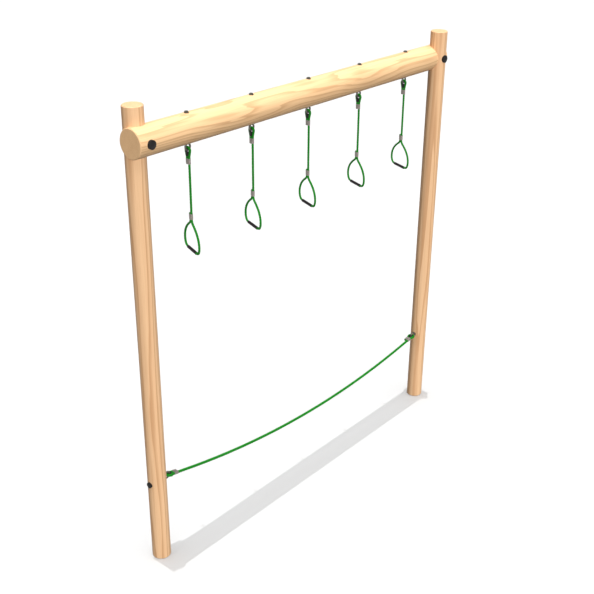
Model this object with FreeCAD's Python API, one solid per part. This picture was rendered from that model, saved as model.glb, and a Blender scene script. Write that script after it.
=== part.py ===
"""Swinging hand-loop traverse: two round timber posts, a round timber beam housed round them, five rope
hand loops hung from eye bolts, and a slack rope to walk on.

Millimetres. +X runs along the beam, +Z is up, and the origin is on the ground midway between the posts.
The left post (-X) stands behind the beam and the right post (+X) in front of it, so the frame looks the same
after half a turn about Z.
"""
import FreeCAD
import Part
import math
import os

V = FreeCAD.Vector
X_AXIS, Y_AXIS, Z_AXIS = V(1, 0, 0), V(0, 1, 0), V(0, 0, 1)

# Timber frame
POST_SPAN = 2300.0         # between the post axes
POST_HEIGHT = 2500.0
POST_RADIUS = 50.0
BEAM_RADIUS = 72.5
BEAM_HEIGHT = 2340.0       # beam axis above the ground
POST_OFFSET = 40.0         # each post's axis from the beam's, along Y
BEAM_OVERHANG = 10.0       # beam end beyond the outside of the post
HOUSING_GAP = 0.5          # round each post where the beam is housed on it
TIMBER_CHAMFER = 4.0

# M12 hardware
BOLT_RADIUS = 6.0
BORE_RADIUS = 6.5
NUT_FLATS = 19.0
HEAD_HEIGHT = 7.5
BEAM_NUT_HEIGHT = 10.0
WALK_NUT_HEIGHT = 6.0
LOCK_NUT_HEIGHT = 12.0
WASHER_RADIUS = 12.0
WASHER_THICKNESS = 2.5
WASHER_GAP = 0.2           # round a washer inside its cover
THREAD_STANDOUT = 2.0      # bolt end beyond a lock nut

# Black plastic covers over the bolt ends
BEAM_COVER_RADIUS = 22.0
BEAM_COVER_HEIGHT = 17.0   # seat to the top of the dome
WALK_COVER_RADIUS = 16.0
WALK_COVER_HEIGHT = 15.0
COVER_DOME = 0.3           # share of the height that is dome
COVER_BASE_THICKNESS = 2.5
COVER_LIP = 3.5            # height of the base's inner rim
COVER_WALL = 2.0
COVER_SEAT_GAP = 0.5       # round the cover in its spot face

# Eye bolts
EYE_WIRE_RADIUS = 5.0
EYE_RING_RADIUS = 15.0     # centre of the wire
WALK_RING_RADIUS = 18.0
EYE_COLLAR_RADIUS = 10.0
EYE_COLLAR_HEIGHT = 3.0
EYE_NECK_HEIGHT = 3.0      # taper between collar and ring
EYE_SINK = 3.5             # how far the ring runs into the collar
EYE_SEAT_DEPTH = 2.5       # spot face under a collar in the beam
WALK_SEAT_DEPTH = 5.0      # and in a post
WALK_SEAT_RADIUS = 16.0
NUT_POCKET_RADIUS = 14.0   # pocket for the nut in the top of the beam
NUT_POCKET_DEPTH = 8.0

# Hanging loops
LOOP_ROPE_RADIUS = 6.0
LOOP_COUNT = 5
LOOP_SPACING = 434.0
LOOP_TURN = 20.0           # degrees that each hand loop hangs turned from square across the beam
LOWER_FERRULE_TOP = 1917.0
LOWER_FERRULE_LENGTH = 28.0
TAIL_STANDOUT = 4.0
GRIP_HEIGHT = 1727.0
GRIP_RADIUS = 8.0
GRIP_HALF_LENGTH = 49.0

# Thimbles, rope eyes and ferrules
LOOP_LEG_ANGLE = 13.0      # degrees from each leg of an eye to the middle
LOOP_MOUTH_RADIUS = 25.0   # bend where a leg turns into the ferrule
WALK_LEG_ANGLE = 25.0
WALK_MOUTH_RADIUS = 15.0
THIMBLE_RADIUS = 7.0       # inside of the round end
THIMBLE_WALL = 1.5
THIMBLE_FLANGE = 4.0       # how far the sides stand up round the rope
WEB_THICKNESS = 5.0        # plate that fills the thimble below its hole
WEB_HOLE_RADIUS = 8.5      # from the hook
HOOK_GAP = 0.3             # between the thimble and the eye bolt's wire
STRAND_GAP = 0.4           # between the two ropes in a ferrule
FERRULE_WALL = 1.5
UPPER_FERRULE_LENGTH = 26.0
DEAD_END = 2.0             # rope end showing below an upper ferrule
FLEX_GAP = 2.2             # bare rope between the upper ferrule and the swinging drop
TWIST_GAP = 0.3            # between the drop and the lower ferrule

# Walk rope
WALK_ROPE_RADIUS = 8.0
WALK_HEIGHT = 485.0        # eye bolts above the ground
WALK_END_SLOPE = 0.195     # fall per length at each end

STRAND_OFFSET = LOOP_ROPE_RADIUS + STRAND_GAP / 2    # a loop's rope from the middle of its ferrule

# One half of a hand loop, from the ferrule's mouth to the grip: distance from its centre line, height
HAND_LOOP_HALF = [
    (STRAND_OFFSET, 1880.0),
    (14.0, 1868.0),
    (37.0, 1853.0),
    (66.0, 1826.0),
    (84.0, 1792.0),
    (86.0, 1757.0),
    (75.0, 1734.0),
    (58.0, GRIP_HEIGHT),
]
# The walk rope between its ferrules: distance from its middle, height above its lowest point
WALK_ROPE_HALF = [(0.0, 0.0), (170.0, 3.0), (340.0, 11.9), (510.0, 26.8), (680.0, 47.6), (850.0, 74.4)]


def rod(radius, start, end):
    """A round bar between two points."""
    return Part.makeCylinder(radius, (end - start).Length, start, end - start)


def hex_bar(flats, base, axis, height):
    """A hexagonal prism standing on base, along axis."""
    corner = flats / math.sqrt(3)
    points = [V(corner * math.cos(math.radians(a)), corner * math.sin(math.radians(a)), 0)
              for a in range(0, 361, 60)]
    prism = Part.Face(Part.makePolygon(points)).extrude(V(0, 0, height))
    prism.Placement = FreeCAD.Placement(base, FreeCAD.Rotation(Z_AXIS, axis))
    return prism


def ring(centre, axis, ring_radius, wire_radius):
    return Part.makeTorus(ring_radius, wire_radius, centre, axis)


def washer(base, axis, radius, bore, thickness):
    end = base + axis * thickness
    return rod(radius, base, end).cut(rod(bore, base - axis, end + axis))


def rounded_wire(points, name=None):
    """Straight runs joined by arcs as large as the runs allow. Prints the arcs' radii for a named rope."""
    edges, radii, here = [], [], points[0]
    for before, corner, after in zip(points, points[1:], points[2:]):
        back, ahead = (before - corner), (after - corner)
        half_turn = (math.pi - back.getAngle(ahead)) / 2
        reach = 0.45 * min(back.Length, ahead.Length)
        back.normalize()
        ahead.normalize()
        radius = reach / math.tan(half_turn)
        start, end = corner + back * reach, corner + ahead * reach
        middle = (back + ahead).normalize() * (radius / math.cos(half_turn) - radius)
        edges.append(Part.LineSegment(here, start).toShape())
        edges.append(Part.Arc(start, corner + middle, end).toShape())
        radii.append(radius)
        here = end
    edges.append(Part.LineSegment(here, points[-1]).toShape())
    if name:
        print(name, "arc radii", [round(r) for r in radii])
    return Part.Wire(edges)


def tube(wire, radius, name=None):
    """A rope's solid along a wire. Prints its volume against section times length for a named rope."""
    first = wire.Edges[0]
    start = first.valueAt(first.FirstParameter)
    along = first.tangentAt(first.FirstParameter)
    section = Part.Wire([Part.makeCircle(radius, start, along)])
    solid = wire.makePipeShell([section], True, False)
    if name:
        ratio = solid.Volume / (math.pi * radius ** 2 * wire.Length)
        print(name, "length", round(wire.Length, 1), "volume ratio", round(ratio, 4))
    return solid


def round_timber(radius, start, end):
    """A round timber with its end edges broken."""
    timber = rod(radius, start, end)
    rims = [e for e in timber.Edges if isinstance(e.Curve, Part.Circle)]
    return timber.makeChamfer(TIMBER_CHAMFER, rims)


def bore(timber, middle, axis):
    """A through bore for an M12 bolt across a timber."""
    reach = axis * (2 * BEAM_RADIUS)
    return timber.cut(rod(BORE_RADIUS, middle - reach, middle + reach))


def place(shape, origin, side, up):
    """Moves a shape from the standard frame to origin, with +Y turned to side and +Z to up."""
    normal = side.cross(up).normalize()
    matrix = FreeCAD.Matrix(
        normal.x, side.x, up.x, origin.x,
        normal.y, side.y, up.y, origin.y,
        normal.z, side.z, up.z, origin.z,
        0, 0, 0, 1)
    moved = shape.copy()
    moved.Placement = FreeCAD.Placement(matrix)
    return moved


# Rope eyes ---------------------------------------------------------------------------------------------
# Each is made round its hook, the centre of the eye wire, with the rope leaving down -Z in the YZ plane.

def teardrop(radius, half, height, thickness):
    """A plate with a round top and two sides meeting in a point below, each at the angle half to the middle.
    height is that of the arc's centre."""
    touch = V(0, radius * math.cos(half), -radius * math.sin(half))
    tip = V(0, 0, -radius / math.sin(half))
    other = V(0, -touch.y, touch.z)
    wire = Part.Wire([
        Part.LineSegment(tip, touch).toShape(),
        Part.Arc(touch, V(0, 0, radius), other).toShape(),
        Part.LineSegment(other, tip).toShape()])
    return Part.Face(wire).extrude(V(thickness, 0, 0)).translate(V(-thickness / 2, 0, height))


class RopeEye:
    """The sizes of a rope eye. Heights are from its hook."""

    def __init__(self, rope_radius, leg_angle, mouth_radius):
        self.rope_radius = rope_radius
        self.mouth_radius = mouth_radius
        self.half = math.radians(leg_angle)
        self.strand = rope_radius + STRAND_GAP / 2                      # each strand from the middle
        self.centre = EYE_WIRE_RADIUS + HOOK_GAP - THIMBLE_RADIUS       # height of the round end's centre
        self.path_radius = THIMBLE_RADIUS + THIMBLE_WALL + rope_radius
        widest = self.path_radius / math.cos(self.half)
        self.corner = self.centre - (widest - self.strand) / math.tan(self.half)    # where a leg turns
        self.reach = mouth_radius * math.tan(self.half / 2)             # of the bend there, each way
        self.ferrule_top = self.corner - self.reach
        self.ferrule_bottom = self.ferrule_top - UPPER_FERRULE_LENGTH


def ferrule(rope_radius, top, length):
    """A pressed sleeve on two strands, from top down: two round sides joined by flats."""
    strand = rope_radius + STRAND_GAP / 2
    outside = rope_radius + FERRULE_WALL
    body = Part.makeBox(2 * outside, 2 * strand, length, V(-outside, -strand, top - length))
    for side in (-strand, strand):
        body = body.fuse(rod(outside, V(0, side, top - length), V(0, side, top)))
    for side in (-strand, strand):
        body = body.cut(rod(rope_radius, V(0, side, top - length - 1), V(0, side, top + 1)))
    return body.removeSplitter()


def mirrored(point):
    return V(point.x, -point.y, point.z)


def round_end(eye, leg_start):
    """The rope's line from leg_start up one leg, over the thimble's round end and down the other leg."""
    touch = V(0, eye.path_radius * math.cos(eye.half), eye.centre - eye.path_radius * math.sin(eye.half))
    return [
        Part.LineSegment(leg_start, touch).toShape(),
        Part.Arc(touch, V(0, 0, eye.centre + eye.path_radius), mirrored(touch)).toShape(),
        Part.LineSegment(mirrored(touch), mirrored(leg_start)).toShape()]


def rope_eye_wire(eye):
    """The rope up through the ferrule, round the thimble and down through the ferrule again."""
    turn = eye.half / 2
    low = V(0, eye.strand, eye.ferrule_top)
    middle = low + V(0, eye.mouth_radius * (1 - math.cos(turn)), eye.mouth_radius * math.sin(turn))
    high = V(0, eye.strand + eye.reach * math.sin(eye.half), eye.corner + eye.reach * math.cos(eye.half))
    return Part.Wire([
        Part.LineSegment(V(0, eye.strand, eye.ferrule_bottom - DEAD_END), low).toShape(),
        Part.Arc(low, middle, high).toShape(),
        *round_end(eye, high),
        Part.Arc(mirrored(high), mirrored(middle), mirrored(low)).toShape(),
        Part.LineSegment(mirrored(low), V(0, -eye.strand, eye.ferrule_bottom)).toShape()])


def thimble(eye, rope):
    """A round-bottomed channel round the inside of the rope, with a web across it below the hook."""
    outside_radius = eye.rope_radius + THIMBLE_WALL
    rise = (outside_radius + STRAND_GAP - eye.strand) / math.tan(eye.half)
    leg_start = V(0, outside_radius + STRAND_GAP, eye.corner + rise)
    channel = tube(Part.Wire(round_end(eye, leg_start)), outside_radius)
    flange_radius = THIMBLE_RADIUS + THIMBLE_WALL + THIMBLE_FLANGE
    inside = teardrop(flange_radius, eye.half, eye.centre, 2 * outside_radius + 2)
    web = teardrop(THIMBLE_RADIUS + THIMBLE_WALL / 2, eye.half, eye.centre, WEB_THICKNESS)
    web = web.cut(rod(WEB_HOLE_RADIUS, X_AXIS * -WEB_THICKNESS, X_AXIS * WEB_THICKNESS))
    lower = [solid for solid in web.Solids if solid.CenterOfMass.z < 0]
    return channel.common(inside).fuse(lower).cut(rope).removeSplitter()


def rope_eye_set(eye, name):
    """Thimble, rope eye and ferrule in the standard frame."""
    rope = tube(rope_eye_wire(eye), eye.rope_radius, name)
    return {
        "thimble": thimble(eye, rope),
        "rope_eye": rope,
        "ferrule": ferrule(eye.rope_radius, eye.ferrule_top, UPPER_FERRULE_LENGTH),
    }


# Bolts and covers --------------------------------------------------------------------------------------

def seat_distance(timber_radius, cover_radius):
    """From a timber's axis to the flat under a cover, just deep enough to be a full circle."""
    return math.sqrt(timber_radius ** 2 - (cover_radius + COVER_SEAT_GAP) ** 2)


def spot_face(seat, outward, radius):
    """The cutter for a flat seat in the side of a timber."""
    return rod(radius, seat, seat + outward * POST_RADIUS)


def cover_base(seat, outward, radius):
    """The ring round the washer, with the inner rim that the cap snaps over."""
    plate = washer(seat, outward, radius - COVER_WALL, WASHER_RADIUS, COVER_BASE_THICKNESS)
    lip = washer(seat, outward, WASHER_RADIUS + COVER_WALL, WASHER_RADIUS, COVER_LIP)
    return plate.fuse(lip).removeSplitter()


def dome(radius, height):
    """A short round bar whose top is a shallow dome."""
    rise = height * COVER_DOME
    sphere = (radius ** 2 + rise ** 2) / (2 * rise)
    return Part.makeSphere(sphere, V(0, 0, height - sphere)).common(Part.makeCylinder(radius, height))


def cover_cap(seat, outward, radius, height):
    """A domed cap, hollow over the bolt end."""
    shell = dome(radius, height).cut(dome(radius - COVER_WALL, height - COVER_WALL))
    shell.Placement = FreeCAD.Placement(seat, FreeCAD.Rotation(Z_AXIS, outward))
    return shell


def eye_bolt(root, outward, ring_axis, ring_radius, length):
    """A forged eye bolt. root is where the collar meets the timber, outward the way the ring stands out,
    and length the shank's, behind root."""
    centre = root + outward * (EYE_COLLAR_HEIGHT + ring_radius + EYE_WIRE_RADIUS - EYE_SINK)
    shank = rod(BOLT_RADIUS, root - outward * length, root)
    collar = rod(EYE_COLLAR_RADIUS, root, root + outward * EYE_COLLAR_HEIGHT)
    collar_face = root + outward * EYE_COLLAR_HEIGHT
    neck = Part.makeCone(EYE_COLLAR_RADIUS, EYE_WIRE_RADIUS, EYE_NECK_HEIGHT, collar_face, outward)
    reach = ring_axis * (2 * EYE_COLLAR_RADIUS)
    neck = neck.cut(rod(ring_radius - EYE_WIRE_RADIUS, centre - reach, centre + reach))
    eye = ring(centre, ring_axis, ring_radius, EYE_WIRE_RADIUS)
    return shank.fuse([collar, neck, eye]).removeSplitter(), centre


# The parts ---------------------------------------------------------------------------------------------

def posts():
    """Each post: its name, the side it stands on along X, and its foot's centre."""
    for name, side in (("left", -1), ("right", 1)):
        yield name, side, V(side * POST_SPAN / 2, -side * POST_OFFSET, 0)


def beam_bolt_seats():
    """The seats under the covers of the two beam bolts: on the post's far side and on the beam's."""
    post_seat = seat_distance(POST_RADIUS, BEAM_COVER_RADIUS)
    beam_seat = seat_distance(BEAM_RADIUS, BEAM_COVER_RADIUS)
    for _, side, foot in posts():
        outward = V(0, -side, 0)
        axis_point = foot + Z_AXIS * BEAM_HEIGHT
        yield axis_point + outward * post_seat, outward
        yield V(axis_point.x, side * beam_seat, BEAM_HEIGHT), outward * -1


def walk_bolt_seat(side, foot):
    """The seat under the cover of a walk rope's eye bolt, on the outside of the post."""
    outward = V(side, 0, 0)
    return foot + Z_AXIS * WALK_HEIGHT + outward * seat_distance(POST_RADIUS, WALK_COVER_RADIUS), outward


def walk_ring_root(side, foot):
    return foot + V(-side * (POST_RADIUS - WALK_SEAT_DEPTH), 0, WALK_HEIGHT)


def make_posts(parts):
    for name, side, foot in posts():
        post = round_timber(POST_RADIUS, foot, foot + Z_AXIS * POST_HEIGHT)
        bolt_height = foot + Z_AXIS * BEAM_HEIGHT
        post = bore(post, bolt_height, Y_AXIS)
        post = bore(post, foot + Z_AXIS * WALK_HEIGHT, X_AXIS)
        outward = V(0, -side, 0)
        beam_seat = bolt_height + outward * seat_distance(POST_RADIUS, BEAM_COVER_RADIUS)
        post = post.cut(spot_face(beam_seat, outward, BEAM_COVER_RADIUS + COVER_SEAT_GAP))
        walk_seat, walk_outward = walk_bolt_seat(side, foot)
        post = post.cut(spot_face(walk_seat, walk_outward, WALK_COVER_RADIUS + COVER_SEAT_GAP))
        post = post.cut(spot_face(walk_ring_root(side, foot), V(-side, 0, 0), WALK_SEAT_RADIUS))
        parts[name + "_post"] = post


def loop_places():
    """Each loop: its number and its place along the beam."""
    for number in range(LOOP_COUNT):
        yield number + 1, (number - (LOOP_COUNT - 1) / 2) * LOOP_SPACING


def make_beam(parts):
    half_length = POST_SPAN / 2 + POST_RADIUS + BEAM_OVERHANG
    beam = round_timber(BEAM_RADIUS, V(-half_length, 0, BEAM_HEIGHT), V(half_length, 0, BEAM_HEIGHT))
    for _, side, foot in posts():
        beam = beam.cut(rod(POST_RADIUS + HOUSING_GAP, foot, foot + Z_AXIS * POST_HEIGHT))
        bolt_line = V(foot.x, 0, BEAM_HEIGHT)
        beam = bore(beam, bolt_line, Y_AXIS)
        outward = V(0, side, 0)
        seat = bolt_line + outward * seat_distance(BEAM_RADIUS, BEAM_COVER_RADIUS)
        beam = beam.cut(spot_face(seat, outward, BEAM_COVER_RADIUS + COVER_SEAT_GAP))
    for _, x in loop_places():
        centre = V(x, 0, BEAM_HEIGHT)
        beam = bore(beam, centre, Z_AXIS)
        pocket = centre + Z_AXIS * (BEAM_RADIUS - NUT_POCKET_DEPTH)
        beam = beam.cut(spot_face(pocket, Z_AXIS, NUT_POCKET_RADIUS))
        under = centre - Z_AXIS * (BEAM_RADIUS - EYE_SEAT_DEPTH)
        beam = beam.cut(spot_face(under, Z_AXIS * -1, EYE_COLLAR_RADIUS + 1))
    parts["beam"] = beam


def make_beam_bolts(parts):
    bolts, washers, nuts, bases, caps = [], [], [], [], []
    seats = list(beam_bolt_seats())
    for (nut_seat, outward), (head_seat, head_outward) in zip(seats[::2], seats[1::2]):
        for seat, out in ((nut_seat, outward), (head_seat, head_outward)):
            washers.append(washer(seat, out, WASHER_RADIUS - WASHER_GAP, BORE_RADIUS, WASHER_THICKNESS))
            bases.append(cover_base(seat, out, BEAM_COVER_RADIUS))
            caps.append(cover_cap(seat, out, BEAM_COVER_RADIUS, BEAM_COVER_HEIGHT))
        head_base = head_seat + head_outward * WASHER_THICKNESS
        nut_base = nut_seat + outward * WASHER_THICKNESS
        shank = rod(BOLT_RADIUS, head_base, nut_base + outward * BEAM_NUT_HEIGHT)
        bolts.append(shank.fuse(hex_bar(NUT_FLATS, head_base, head_outward, HEAD_HEIGHT)))
        nuts.append(hex_bar(NUT_FLATS, nut_base, outward, BEAM_NUT_HEIGHT).cut(shank))
    parts["beam_bolts"] = bolts
    parts["beam_bolt_washers"] = washers
    parts["beam_bolt_nuts"] = nuts
    parts["beam_bolt_cover_bases"] = bases
    parts["beam_bolt_cover_caps"] = caps


def make_swing_bolts(parts):
    """The five eye bolts down through the beam. Returns the hook point of each ring by loop number."""
    washers, nuts, hooks = [], [], {}
    for number, x in loop_places():
        root = V(x, 0, BEAM_HEIGHT - BEAM_RADIUS + EYE_SEAT_DEPTH)
        pocket = V(x, 0, BEAM_HEIGHT + BEAM_RADIUS - NUT_POCKET_DEPTH)
        nut_base = pocket + Z_AXIS * WASHER_THICKNESS
        shank_end = nut_base.z + LOCK_NUT_HEIGHT + THREAD_STANDOUT
        bolt, centre = eye_bolt(root, Z_AXIS * -1, Y_AXIS, EYE_RING_RADIUS, shank_end - root.z)
        washers.append(washer(pocket, Z_AXIS, WASHER_RADIUS, BORE_RADIUS, WASHER_THICKNESS))
        shank = rod(BOLT_RADIUS, root, V(x, 0, shank_end))
        nuts.append(hex_bar(NUT_FLATS, nut_base, Z_AXIS, LOCK_NUT_HEIGHT).cut(shank))
        parts["swing_eye_bolt_%d" % number] = bolt
        hooks[number] = centre - Z_AXIS * EYE_RING_RADIUS
    parts["swing_bolt_washers"] = washers
    parts["swing_bolt_lock_nuts"] = nuts
    return hooks


def make_walk_bolts(parts):
    """The eye bolts through the posts. Returns the hook point of each ring by side, where the rope pulls."""
    fall = math.atan(WALK_END_SLOPE)
    washers, nuts, bases, caps, hooks = [], [], [], [], {}
    for name, side, foot in posts():
        seat, outward = walk_bolt_seat(side, foot)
        root = walk_ring_root(side, foot)
        nut_base = seat + outward * WASHER_THICKNESS
        shank_end = nut_base + outward * WALK_NUT_HEIGHT
        shank = rod(BOLT_RADIUS, root, shank_end)
        inward = outward * -1
        bolt, centre = eye_bolt(root, inward, Y_AXIS, WALK_RING_RADIUS, (shank_end - root).Length)
        washers.append(washer(seat, outward, WASHER_RADIUS - WASHER_GAP, BORE_RADIUS, WASHER_THICKNESS))
        nuts.append(hex_bar(NUT_FLATS, nut_base, outward, WALK_NUT_HEIGHT).cut(shank))
        bases.append(cover_base(seat, outward, WALK_COVER_RADIUS))
        caps.append(cover_cap(seat, outward, WALK_COVER_RADIUS, WALK_COVER_HEIGHT))
        parts["walk_eye_bolt_" + name] = bolt
        hooks[side] = centre + (inward * math.cos(fall) - Z_AXIS * math.sin(fall)) * WALK_RING_RADIUS
    parts["walk_bolt_washers"] = washers
    parts["walk_bolt_nuts"] = nuts
    parts["walk_bolt_cover_bases"] = bases
    parts["walk_bolt_cover_caps"] = caps
    return hooks


def hand_loop_points(middle, side):
    """The hand loop's route from one ferrule mouth round to the other. middle is the ferrule's line on the
    ground."""
    half = [(STRAND_OFFSET, LOWER_FERRULE_TOP - LOWER_FERRULE_LENGTH)] + HAND_LOOP_HALF
    down = [middle - side * out + Z_AXIS * height for out, height in half]
    up = [middle + side * out + Z_AXIS * height for out, height in reversed(half)]
    return down + up


def make_hanging_loops(parts, hooks):
    eye = RopeEye(LOOP_ROPE_RADIUS, LOOP_LEG_ANGLE, LOOP_MOUTH_RADIUS)
    shapes = rope_eye_set(eye, "loop eye")
    sleeve = ferrule(LOOP_ROPE_RADIUS, LOWER_FERRULE_TOP, LOWER_FERRULE_LENGTH)
    turn = math.radians(LOOP_TURN)
    side = V(math.sin(turn), math.cos(turn), 0)
    mouth = LOWER_FERRULE_TOP - LOWER_FERRULE_LENGTH
    for number, hook in hooks.items():
        name = "loop_%d_" % number
        for piece, shape in shapes.items():
            label = "upper_ferrule" if piece == "ferrule" else piece
            parts[name + label] = place(shape, hook, Y_AXIS, Z_AXIS)
        flex = hook.z + eye.ferrule_bottom - FLEX_GAP
        line = V(hook.x, -STRAND_OFFSET, 0)
        middle = line + side * STRAND_OFFSET
        parts[name + "drop_rope"] = rod(
            LOOP_ROPE_RADIUS, line + Z_AXIS * (LOWER_FERRULE_TOP + TWIST_GAP), line + Z_AXIS * flex)
        parts[name + "lower_ferrule"] = place(sleeve, middle, side, Z_AXIS)
        report = "hand loop" if number == 1 else None
        loop = tube(rounded_wire(hand_loop_points(middle, side), report), LOOP_ROPE_RADIUS, report)
        live = rod(LOOP_ROPE_RADIUS, line + Z_AXIS * mouth, line + Z_AXIS * LOWER_FERRULE_TOP)
        tail_line = middle + side * STRAND_OFFSET
        tail = rod(LOOP_ROPE_RADIUS, tail_line + Z_AXIS * mouth,
                   tail_line + Z_AXIS * (LOWER_FERRULE_TOP + TAIL_STANDOUT))
        parts[name + "hand_rope"] = loop.fuse([live, tail]).removeSplitter()
        grip_centre = middle + Z_AXIS * GRIP_HEIGHT
        ends = (grip_centre - side * GRIP_HALF_LENGTH, grip_centre + side * GRIP_HALF_LENGTH)
        parts[name + "grip"] = rod(GRIP_RADIUS, *ends).cut(rod(LOOP_ROPE_RADIUS, *ends))
        if number == 1:
            print("joints: swing", hook, "flex height", round(flex, 2), "rope line y", line.y)


def make_walk_rope(parts, hooks):
    """The eyes lie flat and fall inwards with the rope. The rope runs along the live strand's side."""
    eye = RopeEye(WALK_ROPE_RADIUS, WALK_LEG_ANGLE, WALK_MOUTH_RADIUS)
    eye_shapes = rope_eye_set(eye, "walk eye")
    along = (hooks[1] - hooks[-1]).normalize()
    across = Z_AXIS.cross(along)
    fall = math.atan(WALK_END_SLOPE)
    outward, mouths = {}, {}
    for side, hook in hooks.items():
        outward[side] = along * side * math.cos(fall) + Z_AXIS * math.sin(fall)
        mouths[side] = hook + outward[side] * eye.ferrule_bottom - across * eye.strand
    for piece, shape in eye_shapes.items():
        parts["walk_%ss" % piece] = [place(shape, hooks[side], across, outward[side]) for side in hooks]
    low = (mouths[-1] + mouths[1]) * 0.5
    end_out = (mouths[1] - mouths[-1]).Length / 2
    last_out, last_rise = WALK_ROPE_HALF[-1]
    low.z = mouths[1].z - last_rise - (end_out - last_out) * WALK_END_SLOPE
    right = [low + along * out + Z_AXIS * rise for out, rise in WALK_ROPE_HALF]
    left = [low - along * out + Z_AXIS * rise for out, rise in reversed(WALK_ROPE_HALF[1:])]
    route = [mouths[-1]] + left + right + [mouths[1]]
    print("walk rope: hooks", hooks, "mouths", mouths, "lowest", low)
    parts["walk_rope"] = tube(rounded_wire(route, "walk rope"), WALK_ROPE_RADIUS, "walk rope")


def main():
    parts = {}
    make_posts(parts)
    make_beam(parts)
    make_beam_bolts(parts)
    make_hanging_loops(parts, make_swing_bolts(parts))
    make_walk_rope(parts, make_walk_bolts(parts))
    os.makedirs("parts", exist_ok=True)
    for name, shape in parts.items():
        if isinstance(shape, list):
            shape = Part.makeCompound(shape)
        shape.exportStep("parts/%s.step" % name)
    print(len(parts), "sub-parts")


main()
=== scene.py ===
import math

import bpy
import numpy as np
from mathutils import Matrix, Vector


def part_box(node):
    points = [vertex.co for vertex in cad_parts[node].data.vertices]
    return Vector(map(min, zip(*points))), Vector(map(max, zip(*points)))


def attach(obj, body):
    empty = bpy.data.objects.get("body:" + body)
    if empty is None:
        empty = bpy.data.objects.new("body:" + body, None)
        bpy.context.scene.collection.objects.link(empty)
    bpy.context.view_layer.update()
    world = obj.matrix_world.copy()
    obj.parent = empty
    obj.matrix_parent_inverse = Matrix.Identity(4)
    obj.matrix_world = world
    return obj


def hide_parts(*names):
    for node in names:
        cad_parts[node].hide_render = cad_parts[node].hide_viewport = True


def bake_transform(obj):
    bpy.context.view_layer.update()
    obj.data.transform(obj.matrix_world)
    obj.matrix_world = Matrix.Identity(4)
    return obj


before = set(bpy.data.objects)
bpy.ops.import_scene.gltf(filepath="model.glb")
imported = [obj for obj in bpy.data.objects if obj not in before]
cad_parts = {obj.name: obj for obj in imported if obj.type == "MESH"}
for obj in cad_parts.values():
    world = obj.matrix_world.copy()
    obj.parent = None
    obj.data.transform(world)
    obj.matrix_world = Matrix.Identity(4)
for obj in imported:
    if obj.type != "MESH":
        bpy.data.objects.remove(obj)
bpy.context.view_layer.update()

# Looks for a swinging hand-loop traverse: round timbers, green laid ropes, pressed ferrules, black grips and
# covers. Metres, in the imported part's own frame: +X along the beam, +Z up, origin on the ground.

Z_UP = Vector((0, 0, 1))

# Camera
CAMERA_PLACE = (-3.9042, -3.2711, 3.6478)
CAMERA_AZIMUTH = -49.485        # degrees, 0 looks along +Y
CAMERA_ELEVATION = 26.092
CAMERA_ROLL = 0.504
CAMERA_LENS = 59.9              # millimetres on a 36 mm sensor

# Hanging loops
LOOPS = range(1, 6)
HOOK_HEIGHT = 2.2355
STRAND_OFFSET = 0.0062          # each rope's line from its ferrule's middle
LOOP_ROPE_DIAMETER = 0.012
LOOP_TURN = math.radians(20)
LOWER_FERRULE_TOP = 1.917
LOWER_FERRULE_LENGTH = 0.028
UPPER_FERRULE_BOTTOM = 2.16735
TAIL_TOP = 1.921

# A loop rope round its thimble, from the dead end over the top to the live strand's corner:
# distance to the side of the hook, height above it
LOOP_EYE = [
    (0.0062, -0.0702), (0.0062, -0.0393), (0.0127, -0.0111), (0.0157, 0.0018), (0.0070, 0.0128),
    (-0.0070, 0.0128), (-0.0157, 0.0018), (-0.0127, -0.0111), (-0.0062, -0.0393)]
# One half of a hand loop: distance from its centre line, height
HAND_LOOP_HALF = [
    (STRAND_OFFSET, 1.880), (0.014, 1.868), (0.037, 1.853), (0.066, 1.826),
    (0.084, 1.792), (0.086, 1.757), (0.075, 1.734), (0.058, 1.727)]

# Walk rope
WALK_ROPE_DIAMETER = 0.016
WALK_HOOK = (1.0648328, -0.040, 0.4815549)      # the right-hand one; the left one is half a turn round
WALK_END_SLOPE = 0.195
WALK_MOUTH = (-0.0082, -0.0525)
WALK_EYE = [
    (0.0082, -0.0545), (0.0082, -0.0232), (0.0188, -0.0004), (0.0091, 0.0148),
    (-0.0091, 0.0148), (-0.0188, -0.0004), (-0.0082, -0.0232)]
# The rope between its ferrules: distance from its middle, height above its lowest point
WALK_ROPE_HALF = [
    (0.0, 0.0), (0.170, 0.0030), (0.340, 0.0119), (0.510, 0.0268), (0.680, 0.0476), (0.850, 0.0744)]

# Rope lay
STRANDS = 6
LAY_LENGTH = 7.0                # rope diameters for one turn of a strand
RINGS_PER_DIAMETER = 5
POINTS_PER_STRAND = 8
SPLINE_STEPS = 40               # points on a rope's spline for each stretch of its route
END_FACE_LAY = 0.05             # how much of the lay's pattern an end face takes up
YARNS_AROUND = 18.0             # fine yarns, round the rope and for one turn of a strand
YARNS_PER_LAY = 70.0

# Wood grain: waves of each texture to the metre, two ways across the timber and along it
DRIFT_WAVES_ACROSS = 4
RIPPLE_WAVES = (40, 40, 1.2)
FIBRE_WAVES = (420, 420, 5)
PATCH_WAVES = (30, 30, 0.6)

# Surroundings
FLOOR_HALF = 40.0
GROUND_LIGHT = 0.06
SKY_LIGHT = 0.17


# Camera ------------------------------------------------------------------------------------------------

def make_camera():
    camera = bpy.data.objects.new("camera", bpy.data.cameras.new("camera"))
    bpy.context.scene.collection.objects.link(camera)
    camera.data.lens = CAMERA_LENS
    camera.matrix_world = (
        Matrix.Translation(CAMERA_PLACE)
        @ Matrix.Rotation(math.radians(CAMERA_AZIMUTH), 4, "Z")
        @ Matrix.Rotation(math.radians(90 - CAMERA_ELEVATION), 4, "X")
        @ Matrix.Rotation(math.radians(CAMERA_ROLL), 4, "Z"))
    bpy.context.scene.camera = camera


# Ropes -------------------------------------------------------------------------------------------------

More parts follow.
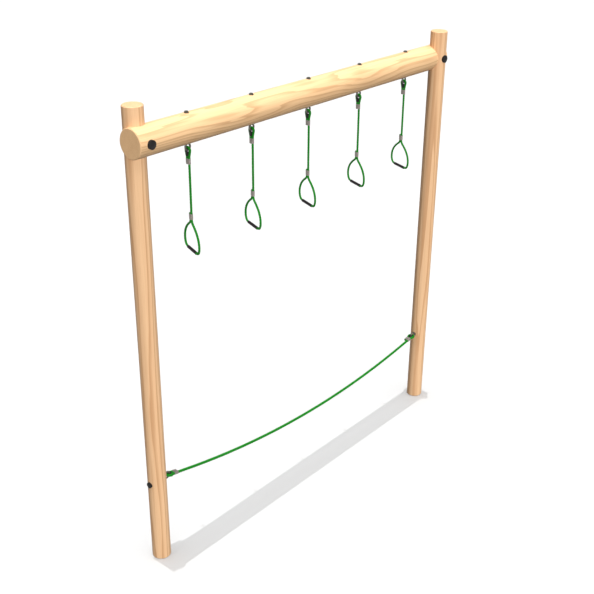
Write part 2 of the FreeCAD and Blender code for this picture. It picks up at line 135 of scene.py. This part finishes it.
def new_mesh(name, points, faces):
    """A smooth-shaded mesh object from points and faces."""
    mesh = bpy.data.meshes.new(name)
    mesh.from_pydata([tuple(p) for p in points], [], faces)
    mesh.shade_smooth()
    piece = bpy.data.objects.new(name, mesh)
    bpy.context.scene.collection.objects.link(piece)
    return piece


def spline_points(route):
    """Points along the smooth NURBS spline that has the route's points as its control points."""
    curve = bpy.data.curves.new("route", "CURVE")
    curve.dimensions = "3D"
    spline = curve.splines.new("NURBS")
    spline.points.add(len(route) - 1)
    for point, place in zip(spline.points, route):
        point.co = (*place, 1)
    spline.order_u = 3
    spline.use_endpoint_u = True
    spline.resolution_u = SPLINE_STEPS
    holder = bpy.data.objects.new("route", curve)
    mesh = bpy.data.meshes.new_from_object(holder)
    points = np.array([v.co for v in mesh.vertices])
    bpy.data.meshes.remove(mesh)
    bpy.data.objects.remove(holder)
    bpy.data.curves.remove(curve)
    return points


def evenly(points, spacing):
    """The same line with points at an even spacing."""
    steps = np.linalg.norm(np.diff(points, axis=0), axis=1)
    along = np.concatenate([[0], np.cumsum(steps)])
    count = max(2, round(along[-1] / spacing) + 1)
    places = np.linspace(0, along[-1], count)
    line = np.stack([np.interp(places, along, points[:, axis]) for axis in range(3)], axis=1)
    return line, places


def carried_frames(line):
    """Two directions across the line at each of its points, carried along without twist."""
    ahead = np.gradient(line, axis=0)
    ahead /= np.linalg.norm(ahead, axis=1)[:, None]
    start = np.array([1.0, 0, 0]) if abs(ahead[0][0]) < 0.9 else np.array([0, 1.0, 0])
    across = []
    for tangent in ahead:
        start = start - tangent * start.dot(tangent)
        start /= np.linalg.norm(start)
        across.append(start)
    across = np.array(across)
    return across, np.cross(ahead, across)


def strand_outline(diameter):
    """The rope's outside as a distance for each of the points round it: a ring of round strands."""
    radius = diameter / 2
    half_gap = math.pi / STRANDS
    centre = radius / (1 + math.sin(half_gap))
    strand = radius - centre
    turn = np.arange(STRANDS * POINTS_PER_STRAND) / POINTS_PER_STRAND * 2 * half_gap
    from_strand = (turn + half_gap) % (2 * half_gap) - half_gap
    reach = strand ** 2 - (centre * np.sin(from_strand)) ** 2
    return turn, centre * np.cos(from_strand) + np.sqrt(np.maximum(reach, 0))


def laid_rope(name, route, diameter):
    """A laid rope along a route. Returns the piece and the line that it follows."""
    line, along = evenly(spline_points(route), diameter / RINGS_PER_DIAMETER)
    across, upright = carried_frames(line)
    turn, distance = strand_outline(diameter)
    lay = along / (LAY_LENGTH * diameter)
    angle = turn[None, :] + lay[:, None] * 2 * math.pi
    rings = (line[:, None, :]
             + across[:, None, :] * (np.cos(angle) * distance)[:, :, None]
             + upright[:, None, :] * (np.sin(angle) * distance)[:, :, None])
    around = len(turn)
    points = list(rings.reshape(-1, 3)) + [line[0], line[-1]]
    faces, places = [], []
    for ring in range(len(line) - 1):
        for step in range(around):
            after = (step + 1) % around
            faces.append((ring * around + step, ring * around + after,
                          (ring + 1) * around + after, (ring + 1) * around + step))
            places += [(step / around, lay[ring]), ((step + 1) / around, lay[ring]),
                       ((step + 1) / around, lay[ring + 1]), (step / around, lay[ring + 1])]
    last = (len(line) - 1) * around
    for step in range(around):
        after = (step + 1) % around
        faces.append((after, step, len(points) - 2))
        faces.append((last + step, last + after, len(points) - 1))
        places += [((step + 1) / around, 0), (step / around, 0), (step / around, -END_FACE_LAY)]
        places += [(step / around, lay[-1]), ((step + 1) / around, lay[-1]),
                   (step / around, lay[-1] + END_FACE_LAY)]
    piece = new_mesh(name, points, faces)
    layer = piece.data.uv_layers.new(name="lay")
    layer.data.foreach_set("uv", np.array(places, np.float32).ravel())
    return piece, [tuple(p) for p in line]


def eye_points(shape, hook, side, up):
    """The points of an eye's shape, placed about its hook."""
    return [hook + side * out + up * rise for out, rise in shape]


def make_drop(number, hook):
    """The rope round the thimble, through the upper ferrule and down to the lower one."""
    y_side = Vector((0, 1, 0))
    line = Vector((hook.x, -STRAND_OFFSET, 0))
    route = eye_points(LOOP_EYE, hook, y_side, Z_UP)
    route += [line + Z_UP * UPPER_FERRULE_BOTTOM, line + Z_UP * LOWER_FERRULE_TOP]
    piece, path = laid_rope("loop_%d_hanging_rope" % number, route, LOOP_ROPE_DIAMETER)
    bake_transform(piece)
    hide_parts("loop_%d_rope_eye" % number, "loop_%d_drop_rope" % number)
    return piece


def make_hand_loop(number, hook):
    """The live strand through the lower ferrule, the loop round to the tail, and the tail's end above."""
    side = Vector((math.sin(LOOP_TURN), math.cos(LOOP_TURN), 0))
    middle = Vector((hook.x, -STRAND_OFFSET, 0)) + side * STRAND_OFFSET
    mouth = LOWER_FERRULE_TOP - LOWER_FERRULE_LENGTH
    half = [(STRAND_OFFSET, mouth)] + HAND_LOOP_HALF
    route = [middle - side * out + Z_UP * height
             for out, height in [(STRAND_OFFSET, LOWER_FERRULE_TOP)] + half]
    route += [middle + side * out + Z_UP * height
              for out, height in list(reversed(half)) + [(STRAND_OFFSET, TAIL_TOP)]]
    piece, path = laid_rope("loop_%d_hand_loop" % number, route, LOOP_ROPE_DIAMETER)
    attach(piece, "hand_loop_%d" % number)
    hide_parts("loop_%d_hand_rope" % number)
    return piece


def make_walk_rope():
    """One rope from the dead end at the left thimble across to the dead end at the right one."""
    right_hook = Vector(WALK_HOOK)
    left_hook = Vector((-right_hook.x, -right_hook.y, right_hook.z))
    along = (right_hook - left_hook).normalized()
    across = Z_UP.cross(along)
    fall = math.atan(WALK_END_SLOPE)
    left_end, right_end = (
        eye_points(WALK_EYE + [WALK_MOUTH], hook, across, Z_UP * math.sin(fall) - inward * math.cos(fall))
        for hook, inward in ((left_hook, along), (right_hook, -along)))
    low = (left_end[-1] + right_end[-1]) / 2
    reach = (right_end[-1] - left_end[-1]).length / 2
    last_out, last_rise = WALK_ROPE_HALF[-1]
    low.z = left_end[-1].z - last_rise - (reach - last_out) * WALK_END_SLOPE
    left = [low - along * out + Z_UP * rise for out, rise in reversed(WALK_ROPE_HALF[1:])]
    right = [low + along * out + Z_UP * rise for out, rise in WALK_ROPE_HALF]
    piece, path = laid_rope("walk_line_rope", left_end + left + right + right_end[::-1], WALK_ROPE_DIAMETER)
    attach(piece, "walk_line")
    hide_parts("walk_rope", "walk_rope_eyes")
    return piece


# Materials ---------------------------------------------------------------------------------------------

class Look:
    """A procedural material: adds nodes one after another and joins them to a Principled shader."""

    def __init__(self, name):
        self.material = bpy.data.materials.new(name)
        self.material.use_nodes = True
        self.tree = self.material.node_tree
        self.shader = self.tree.nodes["Principled BSDF"]

    def node(self, kind, inputs=(), output=0, **settings):
        """Adds a node and returns one of its outputs. inputs are values or outputs, by position or name."""
        made = self.tree.nodes.new("ShaderNode" + kind)
        for name, value in settings.items():
            setattr(made, name, value)
        named = inputs.items() if isinstance(inputs, dict) else enumerate(inputs)
        for socket, value in named:
            self.set(made.inputs[socket], value)
        return made.outputs[output]

    def set(self, socket, value):
        if isinstance(value, bpy.types.NodeSocket):
            self.tree.links.new(value, socket)
        elif value is not None:
            socket.default_value = value

    def math(self, operation, *inputs):
        return self.node("Math", inputs, operation=operation)

    def vector(self, operation, *inputs):
        return self.node("VectorMath", inputs, operation=operation)

    def object_place(self):
        return self.node("TexCoord", output="Object")

    def noise(self, place, scale, detail, roughness=0.5):
        return self.node("TexNoise", {
            "Vector": place, "Scale": scale, "Detail": detail, "Roughness": roughness})

    def between(self, value, low, high, to_low=0.0, to_high=1.0):
        """Maps value from low..high to to_low..to_high, smoothly."""
        return self.node("MapRange", (value, low, high, to_low, to_high), interpolation_type="SMOOTHSTEP")

    def mix(self, share, first, second):
        """A colour that is this share of the second and the rest of the first."""
        made = self.tree.nodes.new("ShaderNodeMix")
        made.data_type = "RGBA"
        self.set(made.inputs["Factor"], share)
        self.set(made.inputs["A"], first)
        self.set(made.inputs["B"], second)
        return made.outputs["Result"]

    def bump(self, height, distance, strength):
        made = self.tree.nodes.new("ShaderNodeBump")
        made.inputs["Distance"].default_value = distance
        made.inputs["Strength"].default_value = strength
        self.set(made.inputs["Height"], height)
        self.set(self.shader.inputs["Normal"], made.outputs["Normal"])

    def finish(self, **sockets):
        """Sets the shader's inputs, named with _ for each space, and returns the material."""
        for name, value in sockets.items():
            self.set(self.shader.inputs[name.replace("_", " ")], value)
        return self.material


def rgb(red, green, blue):
    return (red, green, blue, 1.0)


def wood_look(name, pith, seed, along, colours, wander, waves, contrast, rings_per_metre):
    """Round softwood: growth rings about a pith line that wanders this far, in so many waves to the metre,
    with fibre streaks along it. colours are those of the early wood and the late wood."""
    light, dark = colours
    look = Look(name)
    place = look.vector("SUBTRACT", look.object_place(), pith)
    if along == "X":
        quarter = math.radians(90)
        place = look.node("VectorRotate", {"Vector": place, "Angle": quarter}, rotation_type="Y_AXIS")
    place = look.vector("ADD", place, (0, 0, seed))
    slow_place = look.vector("MULTIPLY", place, (DRIFT_WAVES_ACROSS, DRIFT_WAVES_ACROSS, waves))
    slow = look.node("TexNoise", {"Vector": slow_place, "Scale": 1.0, "Detail": 1.0}, output="Color")
    drift = look.vector("MULTIPLY", look.vector("SUBTRACT", slow, (0.5, 0.5, 0.5)), (wander, wander, 0))
    flat = look.vector("MULTIPLY", look.vector("ADD", place, drift), (1, 1, 0))
    distance = look.node("VectorMath", (flat,), output="Value", operation="LENGTH")
    ripple = look.noise(look.vector("MULTIPLY", place, RIPPLE_WAVES), 1.0, 1)
    rings = look.math("MULTIPLY_ADD", distance, rings_per_metre, look.math("MULTIPLY", ripple, 1.2))
    ring = look.math("FRACT", rings)
    late = look.math("MULTIPLY", look.between(ring, 0.45, 0.9), look.between(ring, 1.0, 0.93))
    fibres = look.noise(look.vector("MULTIPLY", place, FIBRE_WAVES), 1.0, 3, 0.6)
    broad = look.noise(look.vector("MULTIPLY", place, PATCH_WAVES), 1.0, 2)
    tone = look.mix(look.math("MULTIPLY", late, contrast), light, dark)
    tone = look.mix(look.between(fibres, 0.42, 0.75, 0, 0.3), tone, dark)
    tone = look.mix(look.between(broad, 0.4, 0.7, 0, 0.15), tone, dark)
    height = look.math("ADD", look.math("MULTIPLY", late, 0.5), fibres)
    look.bump(height, 0.0006, 0.35)
    rough = look.between(fibres, 0.3, 0.8, 0.55, 0.75)
    return look.finish(Base_Color=tone, Roughness=rough, Specular_IOR_Level=0.3)


def rope_look(name, light, dark):
    """Laid fibres: fine yarns across each strand, with painted shade in the grooves between strands."""
    look = Look(name)
    lay = look.node("UVMap", uv_map="lay")
    u, v = (look.node("SeparateXYZ", (lay,), output=axis) for axis in "XY")
    strand = look.math("FRACT", look.math("ADD", look.math("MULTIPLY", u, float(STRANDS)), 0.5))
    crown = look.math("SUBTRACT", 1.0, look.math("ABSOLUTE", look.math("MULTIPLY_ADD", strand, 2.0, -1.0)))
    turns = look.math("MULTIPLY_ADD", u, YARNS_AROUND, look.math("MULTIPLY", v, YARNS_PER_LAY))
    yarns = look.math("SINE", look.math("MULTIPLY", turns, 2 * math.pi))
    place = look.object_place()
    worn = look.noise(place, 45.0, 3)
    fuzz = look.noise(place, 2600.0, 2)
    # Painted shade: the grooves between strands are darkened towards the dark colour, standing in for the
    # shade that falls there
    tone = look.mix(look.between(crown, 0.0, 0.55, 0.75, 0.0), light, dark)
    tone = look.mix(look.between(yarns, -1.0, 0.2, 0.35, 0.0), tone, dark)
    tone = look.mix(look.between(worn, 0.45, 0.8, 0.0, 0.25), tone, rgb(*(c * 1.5 for c in light[:3])))
    height = look.math("ADD", look.math("MULTIPLY", yarns, 0.5), fuzz)
    look.bump(height, 0.0004, 0.6)
    return look.finish(Base_Color=tone, Roughness=look.between(fuzz, 0.3, 0.7, 0.5, 0.75),
                       Specular_IOR_Level=0.25)


def metal_look(name, light, dark, metallic, rough, grain):
    """Dull metal with mottled tone and fine scratches."""
    look = Look(name)
    place = look.object_place()
    mottle = look.noise(place, grain, 4, 0.6)
    fine = look.noise(place, grain * 14, 2)
    tone = look.mix(look.between(mottle, 0.3, 0.7), light, dark)
    look.bump(look.math("ADD", mottle, look.math("MULTIPLY", fine, 0.4)), 0.0003, 0.35)
    return look.finish(Base_Color=tone, Metallic=metallic,
                       Roughness=look.between(mottle, 0.3, 0.7, rough - 0.08, rough + 0.1))


def plastic_look(name, colour, rough):
    """Moulded plastic with a fine eroded texture and slight scuffs."""
    look = Look(name)
    place = look.object_place()
    fine = look.noise(place, 1800.0, 2)
    scuff = look.noise(place, 90.0, 4, 0.65)
    tone = look.mix(look.between(scuff, 0.5, 0.8, 0.0, 0.5), colour, rgb(*(c * 1.8 for c in colour[:3])))
    look.bump(fine, 0.0002, 0.3)
    return look.finish(Base_Color=tone, Roughness=look.between(scuff, 0.3, 0.8, rough, rough + 0.2),
                       Specular_IOR_Level=0.3)


def dress(node, look):
    """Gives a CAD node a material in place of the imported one."""
    mesh_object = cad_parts[node]
    mesh_object.data.materials.clear()
    mesh_object.data.materials.append(look)


# Light and floor ---------------------------------------------------------------------------------------

def make_floor():
    """A pale floor that catches the shadows and throws no light back up at the object."""
    corners = [(-1, -1), (1, -1), (1, 1), (-1, 1)]
    floor = new_mesh("floor", [(x * FLOOR_HALF, y * FLOOR_HALF, 0) for x, y in corners], [(0, 1, 2, 3)])
    look = Look("floor")
    floor.data.materials.append(look.finish(Base_Color=rgb(0.57, 0.57, 0.57), Roughness=0.9))
    floor.visible_diffuse = False


def make_sun(name, azimuth, elevation, strength, softness, shadow=True):
    """A light from azimuth (0 from -Y, as a camera) and elevation. softness is its angle across. Degrees."""
    sun = bpy.data.objects.new(name, bpy.data.lights.new(name, "SUN"))
    bpy.context.scene.collection.objects.link(sun)
    sun.data.energy = strength
    sun.data.angle = math.radians(softness)
    sun.data.use_shadow = shadow
    sun.rotation_euler = (math.radians(90 - elevation), 0, math.radians(azimuth))


def make_world():
    """Soft light from above, and much less from below. The camera sees it as pale as the floor."""
    world = bpy.data.worlds.new("world")
    bpy.context.scene.world = world
    world.use_nodes = True
    tree = world.node_tree
    place = tree.nodes.new("ShaderNodeTexCoord")
    split = tree.nodes.new("ShaderNodeSeparateXYZ")
    ramp = tree.nodes.new("ShaderNodeMapRange")
    tree.links.new(place.outputs["Generated"], split.inputs[0])
    tree.links.new(split.outputs["Z"], ramp.inputs["Value"])
    limits = (("From Min", -0.3), ("From Max", 0.4), ("To Min", GROUND_LIGHT), ("To Max", SKY_LIGHT))
    for name, value in limits:
        ramp.inputs[name].default_value = value
    path = tree.nodes.new("ShaderNodeLightPath")
    brighter = tree.nodes.new("ShaderNodeMath")
    brighter.operation = "MAXIMUM"
    tree.links.new(ramp.outputs[0], brighter.inputs[0])
    tree.links.new(path.outputs["Is Camera Ray"], brighter.inputs[1])
    tree.links.new(brighter.outputs[0], tree.nodes["Background"].inputs["Strength"])
    tree.nodes["Background"].inputs["Color"].default_value = rgb(1, 1, 1)


# The scene ---------------------------------------------------------------------------------------------

make_camera()

# The rope's dark green serves two uses: the painted shade in the grooves between strands, and the darker
# tone between its fine yarns
loop_rope = rope_look("green_rope", rgb(0.007, 0.27, 0.010), rgb(0.002, 0.075, 0.003))
steel = metal_look("galvanised_steel", rgb(0.16, 0.16, 0.13), rgb(0.08, 0.08, 0.07), 0.6, 0.5, 160.0)
aluminium = metal_look("pressed_aluminium", rgb(0.34, 0.30, 0.27), rgb(0.22, 0.20, 0.18), 0.6, 0.45, 240.0)
black = plastic_look("black_plastic", rgb(0.006, 0.005, 0.005), 0.5)
grip_black = plastic_look("grip_black", rgb(0.014, 0.009, 0.011), 0.5)

for number in LOOPS:
    low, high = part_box("loop_%d_drop_rope" % number)
    hook = Vector(((low.x + high.x) / 2, 0, HOOK_HEIGHT))
    make_drop(number, hook).data.materials.append(loop_rope)
    make_hand_loop(number, hook).data.materials.append(loop_rope)
make_walk_rope().data.materials.append(loop_rope)

POST_WOOD = {"along": "Z", "colours": (rgb(0.86, 0.55, 0.31), rgb(0.58, 0.30, 0.14)),
             "wander": 0.02, "waves": 0.8, "contrast": 0.75, "rings_per_metre": 170.0}
BEAM_WOOD = {"along": "X", "colours": (rgb(0.88, 0.58, 0.31), rgb(0.60, 0.32, 0.15)),
             "wander": 0.026, "waves": 1.5, "contrast": 0.65, "rings_per_metre": 230.0}
# Each timber's pith line, how far along the grain's pattern it starts, and its wood
TIMBERS = {
    "left_post": ((-1.128, 0.055, 0), 3.0, POST_WOOD),
    "right_post": ((1.172, -0.025, 0), 11.0, POST_WOOD),
    "beam": ((0, 0.010, 2.324), 7.0, BEAM_WOOD)}
for timber, (pith, seed, wood) in TIMBERS.items():
    dress(timber, wood_look(timber + "_wood", pith, seed, **wood))

# The other nodes take the look of the first of these words that is in their names
LOOKS_BY_WORD = {"cover": black, "ferrule": aluminium, "grip": grip_black, "thimble": black, "bolt": steel}
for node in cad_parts:
    words = [word for word in LOOKS_BY_WORD if word in node]
    if words:
        dress(node, LOOKS_BY_WORD[words[0]])

make_floor()
make_sun("overhead", 180, 88.8, 1.4, 0.15)
make_sun("sky", 0, 90, 2.75, 80)
make_sun("front", -28, 24, 2.85, 22, shadow=False)
make_world()
bpy.context.scene.view_settings.view_transform = "Standard"
